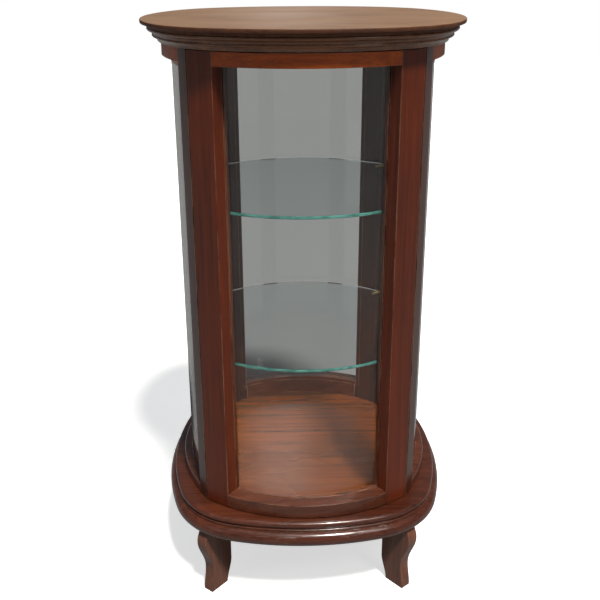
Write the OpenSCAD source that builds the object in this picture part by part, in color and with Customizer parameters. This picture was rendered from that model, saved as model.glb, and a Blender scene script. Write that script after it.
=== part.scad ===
// Curio display case: bowed glass on four sides, moulded top, four cabriole feet.
// Millimetres, +Z up, front towards -Y, origin on the floor under the middle.

/* [Overall] */
// Height of the whole case
total_h = 738; // [660:2:880]
// Half width of the glazed body at the middle of its sides
body_half_w = 174; // [146:1:208]
// Half depth of the glazed body at the middle of its front
body_half_d = 186.6; // [156:0.2:222]
// Rise of the front and rear bows above their corners
front_bow = 48; // [40:1:56]
// Rise of the side bows above their corners
side_bow = 41; // [34:1:48]
// Thickness of the body frames, outside to inside
frame_t = 24; // [21:0.5:28]

/* [Feet] */
// Height of the feet under the base board
leg_h = 98; // [80:1:116]
// Thickness of the plank the feet are sawn from
leg_t = 15.5; // [13:0.5:20]
// Distance of the toes from the middle of the case
toe_reach = 210; // [200:1:214]
// Length of the sole from heel to toe
sole_l = 31; // [26:1:36]
// How far the knee stands out past the toe
knee_out = 9; // [6:1:10]
// Direction of each foot, measured from the X axis
leg_turn = 50; // [47:0.5:53]
// Diameter of the dowels between feet and base board
leg_dowel_d = 8; // [6:0.5:8]

/* [Base board] */
// Thickness of the base board
base_t = 34; // [30:0.5:41]
// Ledge of the base board past the body at the sides
base_ledge_side = 21; // [18:0.5:24]
// Ledge of the base board past the body at the front and rear
base_ledge_front = 18.4; // [17:0.2:24]
// Rise of the base board's front edge above its unrounded corner
base_front_bow = 33; // [28:1:38]
// Rise of the base board's side edge above its unrounded corner
base_side_bow = 39; // [34:1:44]
// Distance of the base board's eased corners from the middle
base_corner_reach = 224; // [218:0.5:228]
// Height of the big bullnose on the base board
bullnose_h = 21; // [18:0.5:22]
// Thickness of the floor panel inside the body
floor_t = 4; // [3:0.5:5]

/* [Top] */
// Thickness of the top board
top_t = 8.5; // [8:0.5:12]
// Thickness of the cornice board under it
cornice_t = 16.5; // [16:0.5:20]
// Overhang of the top board past the body at the sides
top_over_side = 24; // [22:0.5:30]
// Overhang of the top board past the body at the front and rear
top_over_front = 21.4; // [20:0.2:30]
// Rise of the top's front edge above its unrounded corner
top_front_bow = 45; // [40:1:50]
// Rise of the top's side edge above its unrounded corner
top_side_bow = 52; // [46:1:58]
// Distance of the top's eased corners from the middle
top_corner_reach = 216.8; // [214:0.2:218]

/* [Front and rear frames] */
// Width of a stile's sight edge from the body corner, along X
stile_w = 29.6; // [26:0.2:36]
// Extra width of the stile at the glass, along X
stile_splay = 2.6; // [1:0.1:4]
// Depth of the sight edges, from the face to the glass
sight_depth = 15.6; // [12:0.2:16]
// Height of the front bottom rail above the base board
bottom_rail_h = 19; // [16:0.5:24]
// Rise of the bottom rail's top towards the glass
bottom_rail_fall = 1.5; // [0.5:0.1:3]
// Height of the rear bottom rail above the base board
rear_bottom_rail_h = 30; // [26:0.5:34]
// Height of the front and rear top rails
top_rail_h = 17; // [14:0.5:24]
// Width of the rebates that hold the glass
rebate_w = 6; // [4:0.5:6.5]
// Gap all round the door
door_gap = 1.2; // [1.2:0.1:1.6]

/* [Side walls] */
// Width of a corner post outside the door, along the side bow
post_w = 19.5; // [15:0.5:23]
// Set-back of the side glass from the body's outer face
side_glass_in = 11.5; // [10:0.5:13]
// Height of the side bottom rails
plinth_h = 16; // [14:0.5:22]
// Radius on the upper edge of the side bottom rails
plinth_round = 5; // [3:0.5:6]
// Height of the side top rails
frieze_h = 26; // [22:0.5:32]
// Height of the ogee under the side top rails
frieze_ogee_h = 10; // [8:0.5:12]
// Depth of the grooves that hold the side glass
groove_depth = 5; // [4:0.5:6]

/* [Glass] */
// Thickness of the bowed panels
glass_t = 3; // [2.5:0.5:4]
// Thickness of the shelves
shelf_t = 4; // [3:0.5:6]
// Height of the lower shelf's top above the floor panel
lower_shelf_up = 195; // [160:1:220]
// Height of the upper shelf's top above the lower shelf's top
upper_shelf_up = 196; // [160:1:220]
// Clearance of the shelves from the frames around them
shelf_clear = 6; // [4:0.5:9]
// Play of each glass panel in its rebate or groove
glass_play = 0.5; // [0.4:0.1:0.8]

/* [Hardware] */
// Gap between the magnet's face and its strike plate
catch_gap = 0.5; // [0.4:0.1:1]
// Diameter of the door's pivot pins
pivot_d = 4; // [3.5:0.25:4.5]
// Running clearance of the pins in their bushes, on the radius
pivot_fit = 0.05; // [0.03:0.01:0.08]
// Distance of the pivot from the door's edge
pivot_edge = 8; // [8:0.25:9]
// Distance of the pivot behind the door's face
pivot_back = 3.5; // [3:0.25:3.5]
// Thickness of the pivot plates
plate_t = 1.6; // [1.2:0.1:2]
// Diameter of the shelf pins
shelf_pin_d = 4; // [3:0.25:4.5]
// Length of a shelf pin that stands out of the wood
shelf_pin_out = 12; // [10:0.5:14]
// Diameter of the dowels in the frame joints
frame_dowel_d = 6; // [5:0.5:7]
// Diameter of the countersunk screw heads
screw_head_d = 5; // [4:0.5:5.5]
// Clearance of a dowel or screw in its hole, on the radius
hole_fit = 0.05; // [0.02:0.01:0.1]

/* [Hidden] */
$fn = 96;

body_tone = "#5a2818";
base_tone = "#4a2119";
leg_tone = "#573a36";
top_tone = "#6b4a34";
floor_tone = "#7a3e1c";
glass_tone = "#b9c8c8";
brass_tone = "#c9a24a";
steel_tone = "#9a9a9a";

// Heights
base_top = leg_h + base_t;
floor_top = base_top + floor_t;
cornice_bottom = total_h - top_t - cornice_t;
door_z0 = base_top + door_gap;
door_z1 = cornice_bottom - door_gap;
lower_shelf_top = floor_top + lower_shelf_up;
upper_shelf_top = lower_shelf_top + upper_shelf_up;

// Bows of the body: radius from half chord and rise
function bow_r(chord, rise) = (chord * chord + rise * rise) / (2 * rise);
corner_x = body_half_w - side_bow;
corner_y = body_half_d - front_bow;
fr = bow_r(corner_x, front_bow);
sr = bow_r(corner_y, side_bow);
front_cy = fr - body_half_d;
side_cx = body_half_w - sr;
corner_a = asin(corner_x / fr);
side_corner_a = asin(corner_y / sr);
post_a = side_corner_a - degree(post_w, sr);
door_a = corner_a - degree(door_gap, fr);
far = 400;

// Turn in degrees of a length along an arc
function degree(len, r) = len / r * 180 / PI;
// Points on the front bow (angle from -Y) and on the right bow (angle from +X)
function front_pt(r, a) = [r * sin(a), front_cy - r * cos(a)];
function side_pt(r, a) = [side_cx + r * cos(a), -r * sin(a)];

// Sight edges: a plane from the face to the glass, carried on both ways
glass_r = fr - sight_depth;
inner_r = fr - frame_t;
sight_out = front_pt(fr, asin((corner_x - stile_w) / fr));
sight_in_x = (corner_x - stile_w) * glass_r / fr - stile_splay;
sight_in = [sight_in_x, front_cy - sqrt(glass_r * glass_r - sight_in_x * sight_in_x)];
sight_dir = sight_in - sight_out;
sight_far_in = sight_in + sight_dir * 1.2;
sight_far_out = sight_out - sight_dir * 2;
sight_a = asin(sight_in_x / glass_r);
rebate_a = sight_a + degree(rebate_w, glass_r);
stile_from_a = sight_a - 5;
sight_z1 = cornice_bottom - top_rail_h;

// The side faces where posts and stiles meet the side walls
post_out_far = side_pt(sr + 20, post_a);
post_in_far = side_pt(sr - frame_t - 30, post_a);
plinth_z1 = base_top + plinth_h;
frieze_z0 = cornice_bottom - frieze_h;
side_glass_r = sr - side_glass_in;

// Points of a round in a moulding, centre [inset, z], from angle a0 to a1, 0 pointing outwards
function round_pts(c, r, a0, a1, n) = [
  for (i = [0:n]) let (t = a0 + (a1 - a0) * i / n) [c[0] - r * cos(t), c[1] + r * sin(t)]
];

// Round board of radius r about [x, y], its edge moulding given as [inset, z] points
module moulded_disc(x, y, r, z0, z1, moulding) {
  translate([x, y, 0])
    rotate_extrude($fn = 240)
      polygon(concat([[0, z0]], [for (p = moulding) [r - p[0], p[1]]], [[0, z1]]));
}

// Board of half sizes a and b with bowed sides and corners eased off at corner_reach
module moulded_board(a, b, front_rise, side_rise, corner_reach, z0, z1, moulding) {
  front_r = bow_r(a - side_rise, front_rise);
  side_r = bow_r(b - front_rise, side_rise);
  intersection() {
    moulded_disc(0, front_r - b, front_r, z0, z1, moulding);
    moulded_disc(0, b - front_r, front_r, z0, z1, moulding);
    moulded_disc(side_r - a, 0, side_r, z0, z1, moulding);
    moulded_disc(a - side_r, 0, side_r, z0, z1, moulding);
    moulded_disc(0, 0, corner_reach, z0, z1, moulding);
  }
}

// Base board: big bullnose, a small bead, then an upper bead under the flat top
nose_r = bullnose_h / 2;
base_bead_r = 1.3;
base_bead_z = leg_h + bullnose_h + base_bead_r + 0.4;
base_bead_in = 7.7;
upper_bead_r = (base_top - base_bead_z - base_bead_r - 0.4) / 2;
upper_bead_in = 7.5;
base_moulding = concat(
  round_pts([nose_r, leg_h + nose_r], nose_r, -90, 75, 8),
  [[base_bead_in + base_bead_r, leg_h + bullnose_h]],
  round_pts([base_bead_in + base_bead_r, base_bead_z], base_bead_r, -60, 60, 2),
  [[upper_bead_in + upper_bead_r - 2, base_top - 2 * upper_bead_r]],
  round_pts([upper_bead_in + upper_bead_r, base_top - upper_bead_r], upper_bead_r, -60, 90, 4)
);

// Top board: a lip with a cove under it
top_bottom = total_h - top_t;
lip_h = 4.7;
lip_in = 1.4;
cove_w = 7;
top_cove_h = top_t - lip_h;
top_moulding = concat(
  [for (t = [90:-22.5:0]) [lip_in + cove_w * sin(t), top_bottom + top_cove_h * cos(t)]],
  [[0.4, total_h - lip_h + 0.5], [0, total_h - lip_h + 1.4]],
  round_pts([1.2, total_h - 1.2], 1.2, 0, 90, 2)
);

// Cornice board: bead, cove, thin bead and a cove back to the frames
bead_r = 2.2;
bead_in = 7.6;
thin_bead_r = 1.2;
thin_bead_in = 13.6;
thin_bead_z = top_bottom - 10;
low_cove_h = thin_bead_z - thin_bead_r - cornice_bottom - 1;
low_cove_w = 5;
mid_cove_h = top_bottom - 2 * bead_r - thin_bead_z - thin_bead_r;
mid_cove_w = thin_bead_in + thin_bead_r - bead_in - bead_r;
cornice_moulding = concat(
  [[thin_bead_in + thin_bead_r + low_cove_w, cornice_bottom]],
  [for (t = [90:-30:0])
    [thin_bead_in + thin_bead_r + low_cove_w * sin(t), cornice_bottom + 1 + low_cove_h * cos(t)]],
  round_pts([thin_bead_in + thin_bead_r, thin_bead_z], thin_bead_r, -60, 60, 2),
  [for (t = [75:-25:0])
    [bead_in + bead_r + mid_cove_w * sin(t), thin_bead_z + thin_bead_r + mid_cove_h * cos(t)]],
  round_pts([bead_in + bead_r, top_bottom - bead_r], bead_r, -60, 90, 4)
);

// ---- Shared shapes ----

// Sector of the front bow, between two radii, two angles from -Y and two heights
module bow(r0, r1, a0, a1, z0, z1) {
  translate([0, front_cy, 0])
    rotate([0, 0, 270 + a0])
      rotate_extrude(angle = a1 - a0, $fn = 240)
        translate([r0, z0])
          square([r1 - r0, z1 - z0]);
}

// Sector of the right side bow with the 2D section given, between the two posts
module side_sector(a) {
  translate([side_cx, 0, 0])
    rotate([0, 0, -a])
      rotate_extrude(angle = 2 * a, $fn = 240)
        children();
}

// Space between the sight edges of the two stiles
module bay() {
  translate([0, 0, leg_h])
    linear_extrude(total_h - leg_h)
      polygon([
        [-sight_far_in[0], sight_far_in[1]],
        [-sight_far_out[0], sight_far_out[1]],
        [-sight_far_out[0], -far],
        [sight_far_out[0], -far],
        sight_far_out,
        sight_far_in
      ]);
}

// Heights of the rebate for the glass, over a bottom rail of height h
function pocket_z0(h) = base_top + h + bottom_rail_fall - rebate_w;
pocket_z1 = sight_z1 + rebate_w;

// Rebate that holds the glass and its beads
module glass_pocket(h) {
  bow(inner_r - 5, glass_r, -rebate_a, rebate_a, pocket_z0(h), pocket_z1);
}

// Four dowels that join rails and stiles; grow widens and lengthens them to make their holes
dowel_z = 8;
dowel_half = 12;
dowel_depth = frame_t / 2;
dowel_at = sight_out + sight_dir * dowel_depth / sight_depth;
module frame_dowels(grow) {
  for (sx = [0, 1], z = [base_top + dowel_z, cornice_bottom - dowel_z])
    mirror([sx, 0, 0])
      translate([dowel_at[0], dowel_at[1], z])
        rotate([0, 0, sight_a])
          rotate([0, 90, 0])
            cylinder(h = 2 * (dowel_half + 10 * grow), d = frame_dowel_d + 2 * grow, center = true);
}

module bottom_rail(z0, h) {
  difference() {
    intersection() {
      translate([0, front_cy, 0])
        rotate([0, 0, 270 - corner_a])
          rotate_extrude(angle = 2 * corner_a, $fn = 240)
            polygon([
              [inner_r, z0],
              [fr, z0],
              [fr, base_top + h],
              [glass_r, base_top + h + bottom_rail_fall],
              [inner_r, base_top + h + bottom_rail_fall]
            ]);
      bay();
    }
    glass_pocket(h);
    frame_dowels(hole_fit);
  }
}

module top_rail(z1, h) {
  difference() {
    intersection() {
      bow(inner_r, fr, -corner_a, corner_a, sight_z1, z1);
      bay();
    }
    glass_pocket(h);
    frame_dowels(hole_fit);
  }
}

module bowed_glass(h) {
  play_a = degree(glass_play, glass_r);
  bow(glass_r - glass_t, glass_r, -rebate_a + play_a, rebate_a - play_a,
      pocket_z0(h) + glass_play, pocket_z1 - glass_play);
}

bead_a = rebate_a - degree(rebate_w, glass_r);
module side_beads(h) {
  for (sx = [0, 1])
    mirror([sx, 0, 0])
      bow(inner_r, glass_r - glass_t, bead_a, rebate_a, pocket_z0(h), pocket_z1);
}

module rail_beads(h) {
  bow(inner_r, glass_r - glass_t, -bead_a, bead_a, pocket_z0(h), pocket_z0(h) + rebate_w);
  bow(inner_r, glass_r - glass_t, -bead_a, bead_a, pocket_z1 - rebate_w, pocket_z1);
}

// Solid where the front and right bows meet: outer faces, inner faces and one height
module corner_block() {
  translate([0, 0, base_top])
    linear_extrude(cornice_bottom - base_top)
      difference() {
        intersection() {
          translate([0, front_cy])
            circle(fr, $fn = 240);
          translate([side_cx, 0])
            circle(sr, $fn = 240);
          polygon([[0, front_cy], front_pt(far, stile_from_a), post_out_far, post_in_far]);
        }
        intersection() {
          translate([0, front_cy])
            circle(inner_r, $fn = 240);
          translate([side_cx, 0])
            circle(sr - frame_t, $fn = 240);
        }
      }
}

// Groove in the corner's side face for the end of the side glass
module side_groove() {
  side_groove_fit = 0.3;
  translate([side_cx, 0, 0])
    rotate([0, 0, -post_a - degree(groove_depth, side_glass_r)])
      rotate_extrude(angle = 2 * degree(groove_depth, side_glass_r), $fn = 240)
        translate([side_glass_r - glass_t - side_groove_fit, plinth_z1 - groove_depth])
          square([glass_t + 2 * side_groove_fit, frieze_z0 - plinth_z1 + 2 * groove_depth]);
}

// Shelf pins at the front right corner, square to the inner face; grow makes their holes
pin_hole = frame_t - side_glass_in - glass_t - 0.5;
pin_a = (post_a + atan2(-front_pt(inner_r, corner_a)[1], front_pt(inner_r, corner_a)[0] - side_cx)) / 2;
module corner_pins(grow) {
  for (z = [lower_shelf_top, upper_shelf_top])
    translate([side_cx, 0, z - shelf_t - shelf_pin_d / 2])
      rotate([0, 0, -pin_a])
        translate([sr - frame_t - shelf_pin_out, 0, 0])
          rotate([0, 90, 0])
            cylinder(h = shelf_pin_out + pin_hole + grow, d = shelf_pin_d + 2 * grow);
}

module rear_stile() {
  mirror([0, 1, 0])
    difference() {
      corner_block();
      bay();
      glass_pocket(rear_bottom_rail_h);
      frame_dowels(hole_fit);
      side_groove();
      corner_pins(hole_fit);
    }
}

module corner_post() {
  difference() {
    intersection() {
      corner_block();
      translate([0, 0, leg_h])
        linear_extrude(total_h)
          polygon([[0, front_cy], front_pt(far, corner_a), post_out_far, post_in_far]);
    }
    side_groove();
    corner_pins(hole_fit);
  }
}

module plinth_section() {
  difference() {
    union() {
      translate([sr - frame_t, base_top])
        square([frame_t - plinth_round, plinth_h]);
      translate([sr - frame_t, base_top])
        square([frame_t, plinth_h - plinth_round]);
      translate([sr - plinth_round, plinth_z1 - plinth_round])
        circle(plinth_round, $fn = 48);
    }
    translate([side_glass_r - glass_t - 0.3, plinth_z1 - groove_depth])
      square([glass_t + 0.6, frame_t]);
  }
}

module frieze_section() {
  difference() {
    polygon(concat(
      [[sr - frame_t, cornice_bottom], [sr - frame_t, frieze_z0]],
      [for (t = [0:11:66])
        [sr - side_glass_in * (cos(t) - cos(66)) / (1 - cos(66)), frieze_z0 + frieze_ogee_h * sin(t) / sin(66)]],
      [[sr, cornice_bottom]]
    ));
    translate([side_glass_r - glass_t - 0.3, frieze_z0 - frame_t])
      square([glass_t + 0.6, frame_t + groove_depth]);
  }
}

module side_glass() {
  side_sector(post_a + degree(groove_depth - glass_play, side_glass_r))
    translate([side_glass_r - glass_t, plinth_z1 - groove_depth + glass_play])
      square([glass_t, frieze_z0 - plinth_z1 + 2 * (groove_depth - glass_play)]);
}

// Plan of the space inside the frames, cleared by f from the bows and by s from the sides
module inside_plan(f, s) {
  intersection() {
    translate([0, front_cy])
      circle(inner_r - f, $fn = 240);
    translate([0, -front_cy])
      circle(inner_r - f, $fn = 240);
    translate([side_cx, 0])
      circle(sr - frame_t - s, $fn = 240);
    translate([-side_cx, 0])
      circle(sr - frame_t - s, $fn = 240);
  }
}

shelf_post_clear = 1;
module shelf(top) {
  color(glass_tone, 0.4)
    translate([0, 0, top - shelf_t])
      linear_extrude(shelf_t)
        inside_plan(shelf_clear, shelf_post_clear);
}

// Foot outline in the plane of its plank, [outwards from the heel, height]
ankle_z = 36;
ankle_in = 4;
knee_z = leg_h - 16;
knee_u = sole_l + knee_out;
knee_top_in = 5;
heel_in = 9;
function ease(s) = (1 - cos(180 * s)) / 2;
foot_outline = concat(
  [for (i = [0:4]) [-heel_in * ease(i / 4), ankle_z * i / 4]],
  [[-heel_in, leg_h], [knee_u - knee_top_in, leg_h]],
  [for (i = [1:3]) [knee_u - knee_top_in * (1 - sin(30 * i)), leg_h - (leg_h - knee_z) * i / 3]],
  [for (i = [1:9]) [knee_u - (knee_out + ankle_in) * ease(i / 9), knee_z - (knee_z - ankle_z) * i / 9]],
  [for (i = [1:4]) [sole_l - ankle_in + ankle_in * ease(i / 4), ankle_z - ankle_z * i / 4]]
);

// Dowels in the top of a foot, at these places along its plank
dowel_us = [2, 25];
leg_dowel_half = 15;
module foot_dowel_pair(grow) {
  for (u = dowel_us)
    translate([toe_reach - sole_l + u, 0, leg_h - leg_dowel_half - 5 * grow])
      cylinder(h = 2 * leg_dowel_half + 10 * grow, d = leg_dowel_d + 2 * grow);
}

module foot(turn) {
  color(leg_tone)
    rotate([0, 0, turn])
      difference() {
        translate([toe_reach - sole_l, leg_t / 2, 0])
          rotate([90, 0, 0])
            linear_extrude(leg_t)
              polygon(foot_outline);
        foot_dowel_pair(hole_fit);
      }
}

// Door pivot: local x runs along the door towards its edge, y runs inwards
pivot_base = front_pt(fr, door_a);
pivot_x = pivot_base[0] - pivot_edge * cos(door_a) - pivot_back * sin(door_a);
pivot_y = pivot_base[1] - pivot_edge * sin(door_a) + pivot_back * cos(door_a);
module at_pivot() {
  translate([pivot_x, pivot_y, 0])
    rotate([0, 0, door_a])
      children();
}

// Pivot plates: the case's carry the pins, the door's carry the bushes
plate_w = 10;
plate_skin = 0.9;
plate_l = 30;
plate_end = 6;
pin_up = door_gap + plate_t + 6;
plate_screw_us = [-11, -20];
plate_screw_v = 2.2;
plate_screw_d = 2.4;
plate_screw_l = 9;
module plate_blank(t, grow) {
  intersection() {
    translate([plate_end - plate_l - grow, -pivot_back, 0])
      cube([plate_l + 2 * grow, plate_w + grow, t]);
    translate([pivot_edge, fr - pivot_back, 0])
      cylinder(h = t, r = fr - plate_skin + grow, $fn = 240);
  }
}

// Countersunk screw, head at z = 0 pointing down
module screw(d, head_d, len, grow) {
  head_h = (head_d - d) / 2;
  translate([0, 0, -len - grow])
    cylinder(h = len + grow, d = d + 2 * grow, $fn = 32);
  translate([0, 0, -head_h])
    cylinder(h = head_h, d1 = d + 2 * grow, d2 = head_d + 2 * grow, $fn = 32);
}

module plate_screws(grow) {
  for (u = plate_screw_us)
    translate([u, plate_screw_v, 0])
      screw(plate_screw_d, screw_head_d - 0.6, plate_screw_l, grow);
}

// Flip a shape made at the lower pivot to the upper one
module both_ends() {
  children();
  translate([0, 0, base_top + cornice_bottom])
    mirror([0, 0, 1])
      children();
}

module case_plate_pockets() {
  both_ends()
    at_pivot()
      translate([0, 0, base_top]) {
        translate([0, 0, -plate_t])
          plate_blank(plate_t + 1, hole_fit);
        plate_screws(hole_fit);
      }
}

module door_plate_pockets() {
  both_ends()
    at_pivot()
      translate([0, 0, door_z0]) {
        translate([0, 0, -1])
          plate_blank(plate_t + 1, hole_fit);
        cylinder(h = pin_up + 1, d = pivot_d + 1);
        mirror([0, 0, 1])
          plate_screws(hole_fit);
      }
}

// Magnetic catch near the door's free edge
catch_a = -19;
catch_w = 34;
catch_d = 11;
catch_h = 12;
strike_w = 28;
strike_t = 1.2;
strike_h = 7;
strike_z = cornice_bottom - 10;
strike_r = inner_r - strike_t;
magnet_r = strike_r - catch_gap;
catch_screw_d = 2.4;
catch_screw_l = 16;
module catch_places() {
  for (w = [-1, 1])
    translate([0, front_cy, 0])
      rotate([0, 0, 270 + catch_a + w * degree(catch_w * 0.36, magnet_r)])
        children();
}
module magnet_screws(grow) {
  catch_places()
    translate([magnet_r - catch_d / 2, 0, cornice_bottom - catch_h])
      mirror([0, 0, 1])
        screw(catch_screw_d, screw_head_d, catch_screw_l + catch_h / 2, grow);
}
module strike_screws(grow) {
  for (w = [-1, 1])
    translate([0, front_cy, strike_z + strike_h / 2])
      rotate([0, 0, 270 + catch_a + w * degree(strike_w * 0.36, strike_r)])
        translate([strike_r, 0, 0])
          rotate([0, -90, 0])
            screw(2, 3.6, 9, grow);
}

// Screws that hold the cornice board up against the top board
top_screw_at = [70, 90];
top_screw_d = 3.6;
top_screw_l = cornice_t + top_t - 3;
module top_screw_set(grow) {
  for (sx = [-1, 1], sy = [-1, 1])
    translate([sx * top_screw_at[0], sy * top_screw_at[1], cornice_bottom])
      mirror([0, 0, 1])
        screw(top_screw_d, top_screw_d + 3.4, top_screw_l, grow);
}

// ---- Case ----

module base_board() {
  color(base_tone)
    difference() {
      moulded_board(body_half_w + base_ledge_side, body_half_d + base_ledge_front, base_front_bow,
                    base_side_bow, base_corner_reach, leg_h, base_top, base_moulding);
      for (turn = [leg_turn, 180 - leg_turn, 180 + leg_turn, -leg_turn])
        rotate([0, 0, turn])
          foot_dowel_pair(hole_fit);
      case_plate_pockets();
    }
}

floor_clear = 2;
module floor_panel() {
  color(floor_tone)
    translate([0, 0, base_top])
      linear_extrude(floor_t)
        inside_plan(floor_clear, floor_clear);
}

module front_left_foot() { foot(180 + leg_turn); }
module front_right_foot() { foot(-leg_turn); }
module rear_left_foot() { foot(180 - leg_turn); }
module rear_right_foot() { foot(leg_turn); }

module foot_dowels() {
  color(leg_tone)
    for (turn = [leg_turn, 180 - leg_turn, 180 + leg_turn, -leg_turn])
      rotate([0, 0, turn])
        foot_dowel_pair(0);
}

module right_plinth_rail() {
  color(body_tone)
    side_sector(post_a)
      plinth_section();
}
module left_plinth_rail() { mirror([1, 0, 0]) right_plinth_rail(); }

module right_frieze_rail() {
  color(body_tone)
    side_sector(post_a)
      frieze_section();
}
module left_frieze_rail() { mirror([1, 0, 0]) right_frieze_rail(); }

module right_corner_post() { color(body_tone) corner_post(); }
module left_corner_post() { mirror([1, 0, 0]) right_corner_post(); }

module right_glass() { color(glass_tone, 0.3) side_glass(); }
module left_glass() { mirror([1, 0, 0]) right_glass(); }

module rear_right_stile() { color(body_tone) rear_stile(); }
module rear_left_stile() { mirror([1, 0, 0]) rear_right_stile(); }
module rear_top_rail() {
  color(body_tone)
    mirror([0, 1, 0])
      top_rail(cornice_bottom, rear_bottom_rail_h);
}
module rear_bottom_rail() {
  color(body_tone)
    mirror([0, 1, 0])
      bottom_rail(base_top, rear_bottom_rail_h);
}
module rear_glass() {
  color(glass_tone, 0.3)
    mirror([0, 1, 0])
      bowed_glass(rear_bottom_rail_h);
}
module rear_side_beads() {
  color(body_tone)
    mirror([0, 1, 0])
      side_beads(rear_bottom_rail_h);
}
module rear_rail_beads() {
  color(body_tone)
    mirror([0, 1, 0])
      rail_beads(rear_bottom_rail_h);
}
module rear_frame_dowels() {
  color(leg_tone)
    mirror([0, 1, 0])
      frame_dowels(0);
}

// ---- Door ----

module door_stile() {
  difference() {
    bow(inner_r, fr, stile_from_a, door_a, door_z0, door_z1);
    bay();
    glass_pocket(bottom_rail_h);
    frame_dowels(hole_fit);
  }
}
module door_left_stile() { color(body_tone) mirror([1, 0, 0]) door_stile(); }
module door_right_stile() {
  color(body_tone)
    difference() {
      door_stile();
      door_plate_pockets();
    }
}
module door_top_rail() {
  color(body_tone)
    difference() {
      top_rail(door_z1, bottom_rail_h);
      strike_screws(hole_fit);
    }
}
module door_bottom_rail() { color(body_tone) bottom_rail(door_z0, bottom_rail_h); }
module door_glass() { color(glass_tone, 0.3) bowed_glass(bottom_rail_h); }
module door_side_beads() { color(body_tone) side_beads(bottom_rail_h); }
module door_rail_beads() { color(body_tone) rail_beads(bottom_rail_h); }
module door_frame_dowels() { color(leg_tone) frame_dowels(0); }

module door_pivot_plates() {
  color(brass_tone)
    both_ends()
      at_pivot()
        translate([0, 0, door_z0])
          difference() {
            plate_blank(plate_t, 0);
            translate([0, 0, -1])
              cylinder(h = plate_t + 2, d = pivot_d + 2 * pivot_fit);
            mirror([0, 0, 1])
              plate_screws(hole_fit);
          }
}
module door_pivot_screws() {
  color(brass_tone)
    both_ends()
      at_pivot()
        translate([0, 0, door_z0])
          mirror([0, 0, 1])
            plate_screws(0);
}
module case_pivot_plates() {
  color(brass_tone)
    both_ends()
      at_pivot()
        translate([0, 0, base_top]) {
          difference() {
            translate([0, 0, -plate_t])
              plate_blank(plate_t, 0);
            plate_screws(hole_fit);
          }
          translate([0, 0, -plate_t / 2])
            cylinder(h = plate_t / 2 + pin_up, d = pivot_d);
        }
}
module case_pivot_screws() {
  color(brass_tone)
    both_ends()
      at_pivot()
        translate([0, 0, base_top])
          plate_screws(0);
}

module catch_magnet() {
  color(steel_tone)
    difference() {
      bow(magnet_r - catch_d, magnet_r, catch_a - degree(catch_w / 2, magnet_r),
          catch_a + degree(catch_w / 2, magnet_r), cornice_bottom - catch_h, cornice_bottom);
      magnet_screws(hole_fit);
    }
}
module catch_magnet_screws() { color(steel_tone) magnet_screws(0); }
module catch_strike() {
  color(steel_tone)
    difference() {
      bow(strike_r, inner_r, catch_a - degree(strike_w / 2, strike_r),
          catch_a + degree(strike_w / 2, strike_r), strike_z, strike_z + strike_h);
      strike_screws(hole_fit);
    }
}
module catch_strike_screws() { color(steel_tone) strike_screws(0); }

// ---- Shelves and top ----

module lower_shelf() { shelf(lower_shelf_top); }
module upper_shelf() { shelf(upper_shelf_top); }
module shelf_pins() {
  color(brass_tone)
    for (sx = [0, 1], sy = [0, 1])
      mirror([sx, 0, 0])
        mirror([0, sy, 0])
          corner_pins(0);
}

module cornice_board() {
  color(body_tone)
    difference() {
      moulded_board(body_half_w + top_over_side, body_half_d + top_over_front, top_front_bow,
                    top_side_bow, top_corner_reach, cornice_bottom, top_bottom, cornice_moulding);
      top_screw_set(hole_fit);
      case_plate_pockets();
      magnet_screws(hole_fit);
    }
}
module top_board() {
  color(top_tone)
    difference() {
      moulded_board(body_half_w + top_over_side, body_half_d + top_over_front, top_front_bow,
                    top_side_bow, top_corner_reach, top_bottom, total_h, top_moulding);
      top_screw_set(hole_fit);
    }
}
module top_screws() { color(steel_tone) top_screw_set(0); }

base_board();
floor_panel();
front_left_foot();
front_right_foot();
rear_left_foot();
rear_right_foot();
foot_dowels();
left_plinth_rail();
right_plinth_rail();
left_frieze_rail();
right_frieze_rail();
left_corner_post();
right_corner_post();
left_glass();
right_glass();
rear_left_stile();
rear_right_stile();
rear_top_rail();
rear_bottom_rail();
rear_glass();
rear_side_beads();
rear_rail_beads();
rear_frame_dowels();
door_left_stile();
door_right_stile();
door_top_rail();
door_bottom_rail();
door_glass();
door_side_beads();
door_rail_beads();
door_frame_dowels();
door_pivot_plates();
door_pivot_screws();
case_pivot_plates();
case_pivot_screws();
catch_magnet();
catch_magnet_screws();
catch_strike();
catch_strike_screws();
lower_shelf();
upper_shelf();
shelf_pins();
cornice_board();
top_board();
top_screws();
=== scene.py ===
# Curio display case in dark varnished wood with bowed glass on all sides.
import math
import bpy
import mathutils
import numpy as np
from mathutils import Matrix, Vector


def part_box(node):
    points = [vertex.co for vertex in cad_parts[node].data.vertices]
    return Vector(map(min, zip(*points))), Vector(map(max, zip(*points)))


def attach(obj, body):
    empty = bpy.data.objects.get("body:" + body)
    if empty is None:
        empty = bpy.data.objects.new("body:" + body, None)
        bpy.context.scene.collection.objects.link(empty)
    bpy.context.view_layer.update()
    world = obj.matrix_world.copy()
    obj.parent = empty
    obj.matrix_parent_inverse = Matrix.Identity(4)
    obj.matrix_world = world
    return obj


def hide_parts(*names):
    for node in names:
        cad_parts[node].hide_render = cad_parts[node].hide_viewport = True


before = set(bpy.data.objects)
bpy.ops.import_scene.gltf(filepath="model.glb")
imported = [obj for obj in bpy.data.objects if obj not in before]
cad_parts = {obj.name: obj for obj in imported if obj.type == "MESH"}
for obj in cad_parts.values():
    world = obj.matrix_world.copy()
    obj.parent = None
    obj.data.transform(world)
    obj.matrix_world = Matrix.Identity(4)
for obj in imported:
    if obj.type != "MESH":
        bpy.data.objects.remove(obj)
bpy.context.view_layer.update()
MM = 0.001

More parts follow.
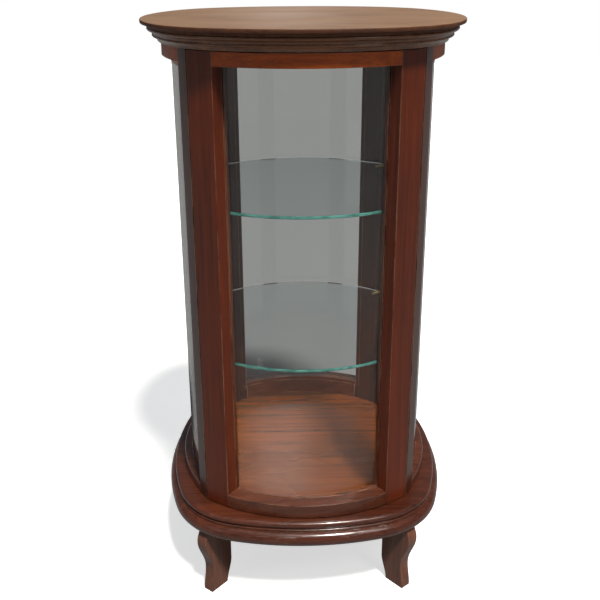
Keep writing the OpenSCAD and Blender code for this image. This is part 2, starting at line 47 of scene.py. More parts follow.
# Outlines of the moulded boards: rise of the front bow, rise of the side bow, corner radius
BASE_SHAPE = (33 * MM, 39 * MM, 110 * MM)
TOP_SHAPE = (45 * MM, 52 * MM, 135 * MM)
# Flat faces of the moulded boards lie this far back, so that flush pivot plates show on them
SINK = 0.15 * MM


# ---------------------------------------------------------------- camera and light

def add_camera():
    """A little above the top of the case and tipped down onto it, as a person stands before it."""
    cam = bpy.data.cameras.new("camera")
    cam.sensor_width = 36
    cam.lens = 52.65
    obj = bpy.data.objects.new("camera", cam)
    bpy.context.scene.collection.objects.link(obj)
    aside, away, height = -0.003, 1.134, 0.809
    yaw, tip, roll = math.radians(1.5), math.radians(21.55), math.radians(0.2)
    obj.location = (aside - away * math.sin(yaw), -away * math.cos(yaw), height)
    obj.rotation_euler = (math.pi / 2 - tip, roll, -yaw)
    bpy.context.scene.camera = obj


def add_area(name, at, look, size, power, colour=(1, 1, 1)):
    """A soft rectangular light of (width, height) at a point, turned to look at another point."""
    light = bpy.data.lights.new(name, "AREA")
    light.shape = "RECTANGLE"
    light.size, light.size_y = size
    light.energy = power
    light.color = colour
    obj = bpy.data.objects.new(name, light)
    bpy.context.scene.collection.objects.link(obj)
    obj.location = at
    way = mathutils.Vector(look) - mathutils.Vector(at)
    obj.rotation_euler = way.to_track_quat("-Z", "Y").to_euler()
    return obj


def add_strip(at, size, power):
    """A narrow upright light behind the case that only shows as a streak in the varnish."""
    obj = add_area("strip", at, (0, 0, 0.2), size, power)
    obj.visible_camera = False
    obj.visible_transmission = False
    obj.visible_diffuse = False


def add_world(colour, strength):
    """White where the camera looks past the case, dimmer in its lighting and reflections."""
    world = bpy.data.worlds.new("studio")
    bpy.context.scene.world = world
    world.use_nodes = True
    back = world.node_tree.nodes["Background"]
    back.inputs["Color"].default_value = (*colour, 1)
    back.inputs["Strength"].default_value = strength
    white = world.node_tree.nodes.new("ShaderNodeBackground")
    white.inputs["Color"].default_value = (1, 1, 1, 1)
    path = world.node_tree.nodes.new("ShaderNodeLightPath")
    mix = world.node_tree.nodes.new("ShaderNodeMixShader")
    join = world.node_tree.links.new
    join(path.outputs["Is Camera Ray"], mix.inputs[0])
    join(back.outputs[0], mix.inputs[1])
    join(white.outputs[0], mix.inputs[2])
    join(mix.outputs[0], world.node_tree.nodes["World Output"].inputs["Surface"])


def add_sun(turn, height, power, soft):
    """A sun lamp from a compass turn and a height, as wide as soft, all in degrees."""
    light = bpy.data.lights.new("sun", "SUN")
    light.energy = power
    light.angle = math.radians(soft)
    light.color = (1.0, 0.96, 0.9)
    obj = bpy.data.objects.new("sun", light)
    bpy.context.scene.collection.objects.link(obj)
    obj.rotation_euler = (math.radians(90 - height), 0, math.radians(turn))


add_camera()
bpy.context.scene.view_settings.view_transform = "Standard"
add_world((0.86, 0.92, 1.0), 0.13)
add_sun(20, 60, 4.0, 7)
add_strip((-0.03, 1.5, 1.18), (0.04, 0.42), 0.6)
add_strip((0.08, 1.5, 1.18), (0.09, 0.42), 0.25)
add_area("key", (1.1, -1.5, 1.7), (0, 0, 0.4), (0.5, 0.5), 4, (1.0, 0.97, 0.92))
add_area("fill", (-1.9, -1.4, 1.4), (0, 0, 0.4), (1.2, 1.2), 2, (0.95, 0.97, 1.0))


# ---------------------------------------------------------------- shader groups

def new_group(name, ins, outs):
    """An empty shader group with named inputs (name, type, value) and outputs (name, type)."""
    tree = bpy.data.node_groups.new(name, "ShaderNodeTree")
    for label, kind, value in ins:
        sock = tree.interface.new_socket(name=label, in_out="INPUT", socket_type="NodeSocket" + kind)
        if value is not None:
            sock.default_value = value
    for label, kind in outs:
        tree.interface.new_socket(name=label, in_out="OUTPUT", socket_type="NodeSocket" + kind)
    return tree, tree.nodes.new("NodeGroupInput"), tree.nodes.new("NodeGroupOutput")


def link(tree, a, b):
    """Joins output socket a to input socket b."""
    tree.links.new(a, b)


def stretched_noise(tree, vector, scale, detail, rough, distort=0.0):
    """Noise drawn out along Z: the point is scaled by one factor per axis first."""
    mul = tree.nodes.new("ShaderNodeVectorMath")
    mul.operation = "MULTIPLY"
    link(tree, vector, mul.inputs[0])
    mul.inputs[1].default_value = scale
    noise = tree.nodes.new("ShaderNodeTexNoise")
    noise.inputs["Scale"].default_value = 1
    noise.inputs["Detail"].default_value = detail
    noise.inputs["Roughness"].default_value = rough
    noise.inputs["Distortion"].default_value = distort
    link(tree, mul.outputs[0], noise.inputs["Vector"])
    return noise.outputs["Fac"]


def remap(tree, value, lo, hi, to_lo=0.0, to_hi=1.0):
    """Straight-line map of lo..hi onto to_lo..to_hi, clamped."""
    node = tree.nodes.new("ShaderNodeMapRange")
    link(tree, value, node.inputs["Value"])
    for key, v in (("From Min", lo), ("From Max", hi), ("To Min", to_lo), ("To Max", to_hi)):
        node.inputs[key].default_value = v
    return node.outputs["Result"]


def maths(tree, op, a, b):
    """One sum of two values; each is a socket or a number."""
    node = tree.nodes.new("ShaderNodeMath")
    node.operation = op
    for i, v in enumerate((a, b)):
        if isinstance(v, (int, float)):
            node.inputs[i].default_value = v
        else:
            link(tree, v, node.inputs[i])
    return node.outputs[0]


def blend(tree, fac, a, b, mode="MIX"):
    """Colour mix; a and b are sockets or colours."""
    node = tree.nodes.new("ShaderNodeMix")
    node.data_type = "RGBA"
    node.blend_type = mode
    ins = [s for s in node.inputs if s.type == "RGBA"]
    if isinstance(fac, (int, float)):
        node.inputs[0].default_value = fac
    else:
        link(tree, fac, node.inputs[0])
    for sock, v in zip(ins, (a, b)):
        if isinstance(v, tuple):
            sock.default_value = v
        else:
            link(tree, v, sock)
    return [s for s in node.outputs if s.type == "RGBA"][0]


def grain_group():
    """Straight-grained wood along Z: broad figure, fine fibre and short dark pores."""
    tree, gin, gout = new_group(
        "wood grain",
        [("Vector", "Vector", None), ("Dark", "Color", None), ("Light", "Color", None),
         ("Pores", "Float", 0.5), ("Blotch", "Float", 0.4)],
        [("Color", "Color"), ("Height", "Float"), ("Rough", "Float")])
    vec = gin.outputs["Vector"]
    figure = remap(tree, stretched_noise(tree, vec, (130, 130, 3.2), 5, 0.62, 0.2), 0.30, 0.72)
    fibre = stretched_noise(tree, vec, (420, 420, 9), 4, 0.7)
    pores = remap(tree, stretched_noise(tree, vec, (1100, 1100, 26), 2, 0.5), 0.57, 0.70)
    cloud = stretched_noise(tree, vec, (9, 9, 4), 3, 0.6)
    mixed = maths(tree, "ADD", maths(tree, "MULTIPLY", figure, 0.6),
                  maths(tree, "MULTIPLY", remap(tree, fibre, 0.3, 0.7), 0.4))
    colour = blend(tree, mixed, gin.outputs["Dark"], gin.outputs["Light"])
    shade = maths(tree, "MULTIPLY", remap(tree, cloud, 0.3, 0.62, 1.0, 0.0), gin.outputs["Blotch"])
    colour = blend(tree, shade, colour, gin.outputs["Dark"])
    colour = blend(tree, maths(tree, "MULTIPLY", pores, gin.outputs["Pores"]), colour,
                   (0.012, 0.005, 0.003, 1))
    link(tree, colour, gout.inputs["Color"])
    height = maths(tree, "SUBTRACT", maths(tree, "MULTIPLY", fibre, 0.4), pores)
    link(tree, height, gout.inputs["Height"])
    link(tree, remap(tree, cloud, 0.3, 0.7, -0.06, 0.10), gout.inputs["Rough"])
    return tree


def edge_wear_and_glint_group():
    """Worn varnish and painted highlight on arrises: where a rounded normal turns from the true one, broken
    up by noise.
    """
    tree, gin, gout = new_group(
        "edge wear",
        [("Vector", "Vector", None), ("Radius", "Float", 0.0012), ("Amount", "Float", 0.6)],
        [("Mask", "Float"), ("Normal", "Vector")])
    bevel = tree.nodes.new("ShaderNodeBevel")
    bevel.samples = 4
    link(tree, gin.outputs["Radius"], bevel.inputs["Radius"])
    geo = tree.nodes.new("ShaderNodeNewGeometry")
    dot = tree.nodes.new("ShaderNodeVectorMath")
    dot.operation = "DOT_PRODUCT"
    link(tree, bevel.outputs["Normal"], dot.inputs[0])
    link(tree, geo.outputs["Normal"], dot.inputs[1])
    turn = remap(tree, dot.outputs["Value"], 0.995, 0.90)
    patch = remap(tree, stretched_noise(tree, gin.outputs["Vector"], (60, 60, 22), 5, 0.7), 0.38, 0.60)
    mask = maths(tree, "MULTIPLY", maths(tree, "MULTIPLY", turn, patch), gin.outputs["Amount"])
    link(tree, mask, gout.inputs["Mask"])
    link(tree, bevel.outputs["Normal"], gout.inputs["Normal"])
    return tree


def dust_and_sheen_group():
    """Dull, dusty film on level faces, which also stands for a painted sheen from above: where the normal
    points up, streaked along the grain.
    """
    tree, gin, gout = new_group("dust film", [("Vector", "Vector", None), ("Amount", "Float", 0.5)],
                                [("Mask", "Float")])
    geo = tree.nodes.new("ShaderNodeNewGeometry")
    parts = tree.nodes.new("ShaderNodeSeparateXYZ")
    link(tree, geo.outputs["Normal"], parts.inputs[0])
    up = remap(tree, parts.outputs["Z"], 0.6, 0.97)
    fine = stretched_noise(tree, gin.outputs["Vector"], (260, 260, 8), 5, 0.75)
    streak = remap(tree, fine, 0.3, 0.6, 0.45, 1)
    broad = stretched_noise(tree, gin.outputs["Vector"], (12, 12, 9), 4, 0.6)
    cloud = remap(tree, broad, 0.3, 0.65, 0.75, 1)
    mask = maths(tree, "MULTIPLY", maths(tree, "MULTIPLY", up, streak), cloud)
    link(tree, maths(tree, "MULTIPLY", mask, gin.outputs["Amount"]), gout.inputs["Mask"])
    return tree


GRAIN = grain_group()
EDGE_WEAR_AND_GLINT = edge_wear_and_glint_group()
DUST_AND_SHEEN = dust_and_sheen_group()
# Arris colour: rubbed varnish, and a painted highlight where light catches the edges.
WORN_AND_GLINT = (0.34, 0.19, 0.10, 1)


def group_node(tree, group, **values):
    """A shader group in a material, with its inputs set to values or joined to sockets."""
    node = tree.nodes.new("ShaderNodeGroup")
    node.node_tree = group
    for key, v in values.items():
        sock = node.inputs[key.replace("_", " ")]
        if hasattr(v, "is_output"):
            link(tree, v, sock)
        else:
            sock.default_value = v
    return node


def rgb(hexcode):
    """Linear colour of a display colour written as RRGGBB."""
    parts = [int(hexcode[i:i + 2], 16) / 255 for i in (0, 2, 4)]
    return tuple(p / 12.92 if p <= 0.04045 else ((p + 0.055) / 1.055) ** 2.4 for p in parts) + (1,)


def wood(name, dark, light, turn=(0, 0, 0), rough=0.3, coat=0.4, pores=0.5, blotch=0.4,
         wear_and_glint=0.6, radius=0.0012, bump=0.05, shift=(0, 0, 0), dust_and_sheen=0.0):
    """Varnished wood; turn lays the grain, which runs along Z before it, the way the piece needs."""
    mat = bpy.data.materials.new(name)
    mat.use_nodes = True
    tree = mat.node_tree
    shader = tree.nodes["Principled BSDF"]
    coords = tree.nodes.new("ShaderNodeTexCoord")
    place = tree.nodes.new("ShaderNodeMapping")
    place.inputs["Rotation"].default_value = turn
    place.inputs["Location"].default_value = shift
    link(tree, coords.outputs["Object"], place.inputs["Vector"])
    grain = group_node(tree, GRAIN, Vector=place.outputs["Vector"], Dark=rgb(dark), Light=rgb(light),
                       Pores=pores, Blotch=blotch)
    edge = group_node(tree, EDGE_WEAR_AND_GLINT, Vector=coords.outputs["Object"], Radius=radius, Amount=wear_and_glint)
    # Arrises are painted paler, for worn varnish and for the highlight that light puts on them.
    colour = blend(tree, edge.outputs["Mask"], grain.outputs["Color"], WORN_AND_GLINT)
    # Upward faces are paled: a dusty film, and a painted sheen of light from above.
    if dust_and_sheen:
        film = group_node(tree, DUST_AND_SHEEN, Vector=place.outputs["Vector"], Amount=dust_and_sheen)
        colour = blend(tree, film.outputs["Mask"], colour, rgb("C6A383"))
    link(tree, colour, shader.inputs["Base Color"])
    dull = maths(tree, "ADD", maths(tree, "MULTIPLY", edge.outputs["Mask"], 0.2), rough)
    link(tree, maths(tree, "ADD", grain.outputs["Rough"], dull), shader.inputs["Roughness"])
    shader.inputs["Specular IOR Level"].default_value = 0.4
    shader.inputs["Coat Weight"].default_value = coat
    shader.inputs["Coat Roughness"].default_value = 0.12
    bumps = tree.nodes.new("ShaderNodeBump")
    bumps.inputs["Strength"].default_value = bump
    bumps.inputs["Distance"].default_value = 0.0006
    link(tree, grain.outputs["Height"], bumps.inputs["Height"])
    link(tree, edge.outputs["Normal"], bumps.inputs["Normal"])
    link(tree, bumps.outputs["Normal"], shader.inputs["Normal"])
    return mat


def glass(name, tint, rough=0.0, smear=0.02, edge=None):
    """Plate glass: a clear shader, with shadow rays let through and a faint smear in its gloss.

    A level plate can have another colour at its upright edges."""
    mat = bpy.data.materials.new(name)
    mat.use_nodes = True
    tree = mat.node_tree
    shader = tree.nodes["Principled BSDF"]
    shader.inputs["Base Color"].default_value = tint
    shader.inputs["Metallic"].default_value = 0
    shader.inputs["Transmission Weight"].default_value = 1
    shader.inputs["IOR"].default_value = 1.45
    if edge:
        geo = tree.nodes.new("ShaderNodeNewGeometry")
        flat = tree.nodes.new("ShaderNodeSeparateXYZ")
        link(tree, geo.outputs["Normal"], flat.inputs[0])
        face = remap(tree, maths(tree, "ABSOLUTE", flat.outputs["Z"], 0), 0.3, 0.7)
        link(tree, blend(tree, face, edge, tint), shader.inputs["Base Color"])
    coords = tree.nodes.new("ShaderNodeTexCoord")
    cloud = stretched_noise(tree, coords.outputs["Object"], (9, 9, 5), 4, 0.6)
    link(tree, remap(tree, cloud, 0.5, 0.75, rough, rough + smear), shader.inputs["Roughness"])
    clear = tree.nodes.new("ShaderNodeBsdfTransparent")
    clear.inputs["Color"].default_value = (0.9, 0.92, 0.92, 1)
    path = tree.nodes.new("ShaderNodeLightPath")
    mix = tree.nodes.new("ShaderNodeMixShader")
    link(tree, path.outputs["Is Shadow Ray"], mix.inputs[0])
    link(tree, shader.outputs["BSDF"], mix.inputs[1])
    link(tree, clear.outputs["BSDF"], mix.inputs[2])
    link(tree, mix.outputs["Shader"], tree.nodes["Material Output"].inputs["Surface"])
    return mat


def metal(name, colour, rough):
    """Metal with fine uneven gloss from handling."""
    mat = bpy.data.materials.new(name)
    mat.use_nodes = True
    tree = mat.node_tree
    shader = tree.nodes["Principled BSDF"]
    coords = tree.nodes.new("ShaderNodeTexCoord")
    cloud = stretched_noise(tree, coords.outputs["Object"], (300, 300, 300), 5, 0.6)
    dark = tuple(c * 0.6 for c in colour[:3]) + (1,)
    link(tree, blend(tree, remap(tree, cloud, 0.35, 0.7), colour, dark), shader.inputs["Base Color"])
    shader.inputs["Metallic"].default_value = 1
    link(tree, remap(tree, cloud, 0.3, 0.7, rough, rough + 0.15), shader.inputs["Roughness"])
    return mat


ACROSS = (0, math.pi / 2, 0)
UPRIGHT = wood("stile wood", "3C1305", "742B06", rough=0.38, coat=0.2, wear_and_glint=1.0, radius=0.0016)
UPRIGHT_DARK = wood("post wood", "2A0E06", "54200C", rough=0.3, coat=0.35, wear_and_glint=1.0, shift=(0.3, 0.1, 0))
# Painted shade: the rear stiles take a darker copy of the stile wood, for the shade they stand in.
SHADED_REAR_WOOD = wood("shaded rear stile wood", "260F08", "4E240F", rough=0.3, coat=0.2, shift=(0.7, 0.2, 0))
RAIL = wood("rail wood", "762C05", "CC5E0C", turn=ACROSS, rough=0.38, coat=0.15)
BASE = wood("base wood", "30130A", "6A3520", turn=ACROSS, rough=0.26, coat=0.6, bump=0.35)
LOW_RAIL = wood("low rail wood", "34160C", "6E3A24", turn=ACROSS, rough=0.25, coat=0.5, wear_and_glint=0.8, bump=0.1)
# The top's upward face is paled by a dusty film and a painted sheen from above.
TOP = wood("top wood", "3A1D0E", "6E3F22", turn=ACROSS, rough=0.55, coat=0.0, pores=0.9, wear_and_glint=0.9,
           bump=0.3, dust_and_sheen=0.55)
CORNICE = wood("cornice wood", "46230F", "97603A", turn=ACROSS, rough=0.26, coat=0.6, wear_and_glint=0.8)
FLOOR_WOOD = wood("floor wood", "4A2411", "7A4019", turn=ACROSS, rough=0.2, coat=0.5, pores=0.3, blotch=0.3)
FOOT = wood("foot wood", "4A281C", "8A5A44", rough=0.36, coat=0.3, wear_and_glint=0.8)
DOWEL = wood("dowel wood", "A87C4C", "CDA370", turn=ACROSS, rough=0.6, coat=0.0, wear_and_glint=0.0)
DOOR_GLASS = glass("door glass", (0.97, 0.985, 0.98, 1), smear=0.0)
REAR_GLASS = glass("rear glass", (0.95, 0.97, 0.97, 1), rough=0.0, smear=0.05)
SIDE_GLASS = glass("side glass", (0.95, 0.97, 0.965, 1))
SHELF_GLASS = glass("shelf glass", (0.93, 0.97, 0.955, 1), edge=(0.30, 0.72, 0.62, 1))
BRASS = metal("brass", (0.62, 0.42, 0.16, 1), 0.3)
STEEL = metal("steel", (0.5, 0.5, 0.52, 1), 0.35)


def give(names, mat):
    """Puts one material on every slot of the named CAD nodes."""
    for name in names:
        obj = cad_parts[name]
        if not obj.material_slots:
            obj.data.materials.append(mat)
        for slot in obj.material_slots:
            slot.material = mat


give(["door_left_stile", "door_right_stile"], UPRIGHT)
give(["rear_left_stile", "rear_right_stile"], SHADED_REAR_WOOD)
give(["left_corner_post", "right_corner_post"], UPRIGHT_DARK)
give(["door_top_rail", "rear_top_rail", "left_frieze_rail", "right_frieze_rail"], RAIL)
give(["door_bottom_rail", "rear_bottom_rail", "left_plinth_rail", "right_plinth_rail"], LOW_RAIL)
give(["door_side_beads", "rear_side_beads"], UPRIGHT_DARK)
give(["door_rail_beads", "rear_rail_beads"], LOW_RAIL)
give(["floor_panel"], FLOOR_WOOD)
give(["foot_dowels", "rear_frame_dowels", "door_frame_dowels"], DOWEL)
give(["door_glass"], DOOR_GLASS)
give(["rear_glass"], REAR_GLASS)
give(["left_glass", "right_glass"], SIDE_GLASS)
give(["lower_shelf", "upper_shelf"], SHELF_GLASS)
give(["door_pivot_plates", "door_pivot_screws"], BRASS)
give(["case_pivot_plates", "case_pivot_screws", "shelf_pins"], BRASS)
give(["catch_magnet", "catch_magnet_screws"], STEEL)
give(["catch_strike", "catch_strike_screws", "top_screws"], STEEL)


# ---------------------------------------------------------------- moulded boards and feet

def make_piece(name, points, faces, mat, sharp=32):
    """A mesh object at the origin, smooth but for edges that turn more than sharp degrees."""
    mesh = bpy.data.meshes.new(name)
    mesh.from_pydata(points.tolist(), [], faces)
    mesh.update()
    mesh.shade_smooth()
    mesh.set_sharp_from_angle(angle=math.radians(sharp))
    mesh.materials.append(mat)
    obj = bpy.data.objects.new(name, mesh)
    bpy.context.scene.collection.objects.link(obj)
    return obj


def bow_r(half_chord, rise):
    """Radius of a bow: (half chord squared + rise squared) / (2 rise)."""
    return (half_chord * half_chord + rise * rise) / (2 * rise)


def oblong_arcs(a, b, front_rise, side_rise, rc):
    """Eight tangent arcs round an oblong of half sizes a, b: bowed sides and rounded corners.

    The corner arc's centre lies where two circles cross, in the quarter where x and y are
    positive: those about the rear and the right bow's centre, each smaller than its bow by rc."""
    rf, rs = bow_r(a - side_rise, front_rise), bow_r(b - front_rise, side_rise)
    fy, sx = b - rf, a - rs
    d = math.hypot(sx, fy)
    ux, uy = sx / d, -fy / d
    along = ((rf - rc) ** 2 - (rs - rc) ** 2 + d * d) / (2 * d)
    up = math.sqrt((rf - rc) ** 2 - along * along)
    crossings = [(along * ux - s * up * uy, fy + along * uy + s * up * ux) for s in (1, -1)]
    cx, cy = max(crossings, key=min)
    hf, hs = math.atan2(cx, cy - fy), math.atan2(cy, cx - sx)
    q = math.pi / 2
    return [(sx, 0, rs, -hs, hs), (cx, cy, rc, hs, q - hf), (0, fy, rf, q - hf, q + hf),
            (-cx, cy, rc, q + hf, 2 * q - hs), (-sx, 0, rs, 2 * q - hs, 2 * q + hs),
            (-cx, -cy, rc, 2 * q + hs, 3 * q - hf), (0, -fy, rf, 3 * q - hf, 3 * q + hf),
            (cx, -cy, rc, 3 * q + hf, 4 * q - hs)]


def moulded_board(name, arcs, profile, mat, steps=(28, 14)):
    """The profile's [inset, height] points carried round the arcs.

    A point is the arc's centre plus (radius - inset) along the direction at angle t;
    flat faces close the top and the bottom."""
    centre, radius, angle = [], [], []
    for i, (x, y, r, a0, a1) in enumerate(arcs):
        n = steps[i % 2]
        t = a0 + (a1 - a0) * np.arange(n) / n
        centre.append(np.column_stack([np.full(n, x), np.full(n, y)]))
        radius.append(np.full(n, r))
        angle.append(t)
    centre, radius, angle = np.vstack(centre), np.concatenate(radius), np.concatenate(angle)
    prof = np.array(profile)
    reach = radius[:, None] - prof[None, :, 0]
    x = centre[:, 0:1] + reach * np.cos(angle)[:, None]
    y = centre[:, 1:2] + reach * np.sin(angle)[:, None]
    z = np.broadcast_to(prof[None, :, 1], x.shape)
    pts = np.stack([x, y, z], axis=-1).reshape(-1, 3)
    n, m = x.shape
    i, j = np.meshgrid(np.arange(n), np.arange(m - 1), indexing="ij")
    k = (i + 1) % n
    quads = np.stack([i * m + j, k * m + j, k * m + j + 1, i * m + j + 1], axis=-1).reshape(-1, 4)
    faces = quads.tolist()
    faces.append((np.arange(n)[::-1] * m).tolist())
    faces.append((np.arange(n) * m + m - 1).tolist())
    return make_piece(name, pts, faces, mat)


def rnd(c, r, a0, a1, n=10):
    """Points of a round in a profile about [inset, height] c; angle 0 points outwards."""
    t = np.radians(np.linspace(a0, a1, n))
    return [[c[0] - r * math.cos(v), c[1] + r * math.sin(v)] for v in t]


def base_profile(z0, z1):
    """Bullnose, a small bead in two quirks, and an upper bead that meets the flat top."""
    nose, bead, quirk = 10.5 * MM, 1.3 * MM, 1.7 * MM
    bead_in, upper_in, flat_in = 9 * MM, 7.4 * MM, 24 * MM
    z_bead = z0 + 2 * nose + quirk
    upper = (z1 - SINK - z_bead - quirk) / 2
    pts = [[flat_in, z0]] + rnd([nose, z0 + nose], nose, -90, 72, 18)
    pts += [[bead_in, z0 + 2 * nose - 0.1 * MM]]
    pts += rnd([bead_in, z_bead], bead, -75, 75, 8)
    pts += rnd([upper_in + upper, z1 - SINK - upper], upper, -75, 90, 14)
    return pts + [[flat_in, z1 - SINK]]


def top_profile(z0, z1):
    """Upright lip with an eased arris, and a cove under it.

    The cove is [1.4 mm + width sin v, foot + height cos v] as v falls from 90 degrees to 0."""
    lip, arris, cove_w, flat_in = 4.7 * MM, 1.2 * MM, 7 * MM, 28 * MM
    z_lip = z1 - lip
    t = np.radians(np.linspace(90, 0, 9))
    pts = [[flat_in, z0]]
    pts += [[1.4 * MM + cove_w * math.sin(v), z0 + (z_lip - z0) * math.cos(v)] for v in t]
    pts += [[0.4 * MM, z_lip + 0.3 * MM], [0.05 * MM, z_lip + arris]]
    return pts + rnd([arris, z1 - arris], arris, 0, 90, 7) + [[flat_in, z1]]


def cornice_profile(z0, z1):
    """From below: cove back to the frames, thin bead, cove, and a fuller bead at the top.

    Both coves are [bead's inset + width sin v, foot + height cos v], v falling to 0."""
    bead, thin, fillet, cove_w = 2.2 * MM, 1.2 * MM, 1 * MM, 5 * MM
    c_top, c_thin = [7.6 * MM + bead, z1 - bead], [13.6 * MM + thin, z1 - 10 * MM]
    z_thin = c_thin[1] + thin
    pts = [[30 * MM, z0 + SINK], [20 * MM, z0 + SINK]]
    height = c_thin[1] - thin - z0 - fillet
    t = np.radians(np.linspace(90, 0, 7))
    pts += [[c_thin[0] + cove_w * math.sin(v), z0 + fillet + height * math.cos(v)] for v in t]
    pts += rnd(c_thin, thin, -75, 75, 8)
    height = c_top[1] - bead - z_thin
    width = c_thin[0] - c_top[0]
    t = np.radians(np.linspace(78, 0, 7))
    pts += [[c_top[0] + width * math.sin(v), z_thin + height * math.cos(v)] for v in t]
    return pts + rnd(c_top, bead, -80, 90, 10) + [[28 * MM, z1]]


def add_board(name, node, outline_node, shape, profile, mat):
    """A moulded board with one node's heights and another's outline, in place of the first."""
    z0, z1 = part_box(node)[0][2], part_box(node)[1][2]
    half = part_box(outline_node)[1]
    arcs = oblong_arcs(half[0], half[1], *shape)
    piece = moulded_board(name, arcs, profile(z0, z1), mat)
    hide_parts(node)
    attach(piece, "case")


add_board("moulded_base", "base_board", "base_board", BASE_SHAPE, base_profile, BASE)
add_board("lipped_top", "top_board", "top_board", TOP_SHAPE, top_profile, TOP)
add_board("moulded_cornice", "cornice_board", "top_board", TOP_SHAPE, cornice_profile, CORNICE)


def ease(s):
    """Raised cosine that rises from 0 to 1 as s does: (1 - cos(pi s)) / 2."""
    return (1 - np.cos(np.pi * s)) / 2


# A foot in millimetres: its height, sole, plank, and the toe's distance from the case's middle
FOOT_H, SOLE_L, PLANK_T, TOE_REACH = 98.0, 31.0, 15.5, 210.0
# How far the knee stands out past the toe, and the ankle, heel and shoulder lie in
KNEE_OUT, ANKLE_IN, HEEL_IN, SHOULDER_IN = 9.0, 4.0, 9.0, 5.0
KNEE_Z, ANKLE_Z = 82.0, 36.0


def foot_outline():
    """Side view of a foot as [outwards from the heel, height], in millimetres, heel first.

    Heel, swing and toe are raised cosines: straight at both ends with an even swing between.
    The shoulder is a quarter sine."""
    knee = SOLE_L + KNEE_OUT
    s = np.linspace(0, 1, 12)
    heel = np.column_stack([-HEEL_IN * ease(s), ANKLE_Z * s])
    top = np.array([[-HEEL_IN, FOOT_H], [knee - SHOULDER_IN, FOOT_H]])
    s = np.linspace(0, 1, 7)[1:]
    shoulder = np.column_stack([knee - SHOULDER_IN * (1 - np.sin(s * np.pi / 2)),
                                FOOT_H - (FOOT_H - KNEE_Z) * s])
    s = np.linspace(0, 1, 20)[1:]
    swing = np.column_stack([knee - (KNEE_OUT + ANKLE_IN) * ease(s), KNEE_Z - (KNEE_Z - ANKLE_Z) * s])
    toe = np.column_stack([SOLE_L - ANKLE_IN + ANKLE_IN * ease(s), ANKLE_Z * (1 - s)])
    return np.vstack([heel, top, shoulder, swing, toe])


def add_foot(name, node, turn):
    """The outline given half the plank's thickness either side, turned to face its corner."""
    out = foot_outline()
    u = out[:, 0] + TOE_REACH - SOLE_L
    n = len(out)
    c, s = math.cos(math.radians(turn)), math.sin(math.radians(turn))
    rows = [np.column_stack([u * c - v * s, u * s + v * c, out[:, 1]])
            for v in (PLANK_T / 2, -PLANK_T / 2)]
    k = np.arange(n)
    faces = np.column_stack([k, (k + 1) % n, (k + 1) % n + n, k + n]).tolist()
    faces.append(k[::-1].tolist())
    faces.append((k + n).tolist())
    obj = make_piece(name, np.vstack(rows) * MM, faces, FOOT)
    bev = obj.modifiers.new("arris", "BEVEL")
    bev.width = 1.0 * MM
    bev.segments = 2
    bev.limit_method = "ANGLE"
    bev.angle_limit = math.radians(50)
    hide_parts(node)
    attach(obj, "case")


for side, turn in (("front_left", 230), ("front_right", -50), ("rear_left", 130), ("rear_right", 50)):
    add_foot("curved_" + side + "_foot", side + "_foot", turn)


# Arcs of a shelf's front and side edges: radius, and how far past the middle the centre lies
FRONT_ARC_R, FRONT_ARC_PAST = 178.26 * MM, 21.66 * MM
SIDE_ARC_R, SIDE_ARC_PAST = 229.84 * MM, 80.76 * MM


def shelf_edge(node):
    """Polished rim of a glass shelf: a thin band just outside its edge.

    Along each direction from the middle the rim lies where the ray leaves the nearest
    of the four circles that bound the shelf. For a centre c and a unit direction u that is
    at c.u + sqrt(radius squared - |c| squared + (c.u) squared)."""
    lo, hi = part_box(node)
    t = np.linspace(0, 2 * math.pi, 360, endpoint=False)
    ux, uy = np.cos(t), np.sin(t)
    reach = np.full(t.shape, np.inf)
    for x, y, r in ((0, FRONT_ARC_PAST, FRONT_ARC_R), (0, -FRONT_ARC_PAST, FRONT_ARC_R),
                    (-SIDE_ARC_PAST, 0, SIDE_ARC_R), (SIDE_ARC_PAST, 0, SIDE_ARC_R)):
        along = ux * x + uy * y
        reach = np.minimum(reach, along + np.sqrt(r * r - (x * x + y * y - along * along)))
    z = np.array([lo[2] + 0.1 * MM, lo[2] + 0.7 * MM, hi[2] - 0.7 * MM, hi[2] - 0.1 * MM])
    out = np.array([0.06, 0.26, 0.26, 0.06]) * MM
    n, m = len(t), len(z)
    r = reach[:, None] + out[None, :]
    x, y = r * ux[:, None], r * uy[:, None]
    pts = np.stack([x, y, np.broadcast_to(z, r.shape)], axis=-1).reshape(-1, 3)
    i, j = np.meshgrid(np.arange(n), np.arange(m), indexing="ij")
    k, up = (i + 1) % n, (j + 1) % m
    faces = np.stack([i * m + j, k * m + j, k * m + up, i * m + up], axis=-1).reshape(-1, 4).tolist()
    obj = make_piece(node + "_edge", pts, faces, RIM, 60)
    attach(obj, "case")


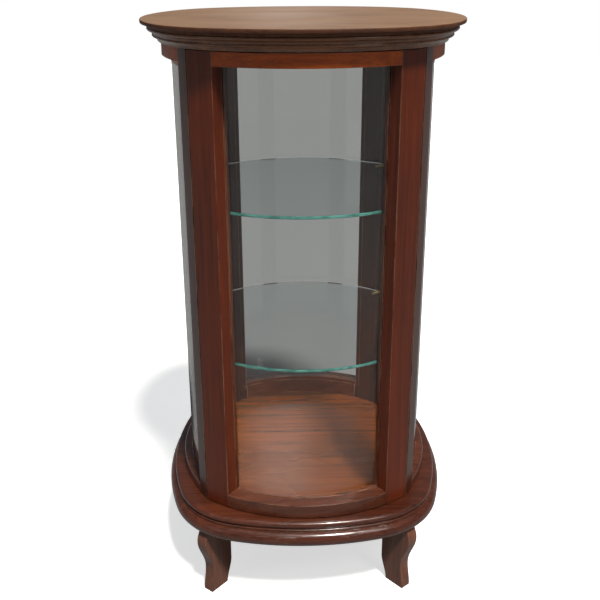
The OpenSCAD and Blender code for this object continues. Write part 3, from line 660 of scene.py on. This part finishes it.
def rim_material():
    """Sea-green edge of plate glass, paler where it is chipped."""
    mat = bpy.data.materials.new("shelf edge")
    mat.use_nodes = True
    tree = mat.node_tree
    shader = tree.nodes["Principled BSDF"]
    coords = tree.nodes.new("ShaderNodeTexCoord")
    cloud = stretched_noise(tree, coords.outputs["Object"], (70, 70, 70), 5, 0.7)
    link(tree, blend(tree, remap(tree, cloud, 0.4, 0.7), (0.02, 0.12, 0.10, 1), (0.10, 0.28, 0.24, 1)),
         shader.inputs["Base Color"])
    shader.inputs["Roughness"].default_value = 0.15
    shader.inputs["Coat Weight"].default_value = 0.6
    return mat


RIM = rim_material()
shelf_edge("lower_shelf")
shelf_edge("upper_shelf")


# ---------------------------------------------------------------- stage

def add_floor():
    """A pale floor, greyer to light that bounces off it so that the varnish stays deep."""
    size = 6
    pts = np.array([[-size, -size, 0], [size, -size, 0], [size, size, 0], [-size, size, 0]], float)
    mesh = bpy.data.meshes.new("floor")
    mesh.from_pydata(pts.tolist(), [], [(0, 1, 2, 3)])
    obj = bpy.data.objects.new("floor", mesh)
    bpy.context.scene.collection.objects.link(obj)
    mat = bpy.data.materials.new("floor paper")
    mat.use_nodes = True
    tree = mat.node_tree
    pale = tree.nodes["Principled BSDF"]
    pale.inputs["Base Color"].default_value = (0.92, 0.92, 0.92, 1)
    pale.inputs["Roughness"].default_value = 0.9
    pale.inputs["Emission Color"].default_value = (1, 1, 1, 1)
    pale.inputs["Emission Strength"].default_value = 0.62
    grey = tree.nodes.new("ShaderNodeBsdfDiffuse")
    grey.inputs["Color"].default_value = (0.24, 0.245, 0.25, 1)
    path = tree.nodes.new("ShaderNodeLightPath")
    mix = tree.nodes.new("ShaderNodeMixShader")
    link(tree, path.outputs["Is Camera Ray"], mix.inputs[0])
    link(tree, grey.outputs[0], mix.inputs[1])
    link(tree, pale.outputs[0], mix.inputs[2])
    link(tree, mix.outputs[0], tree.nodes["Material Output"].inputs["Surface"])
    mesh.materials.append(mat)


add_floor()
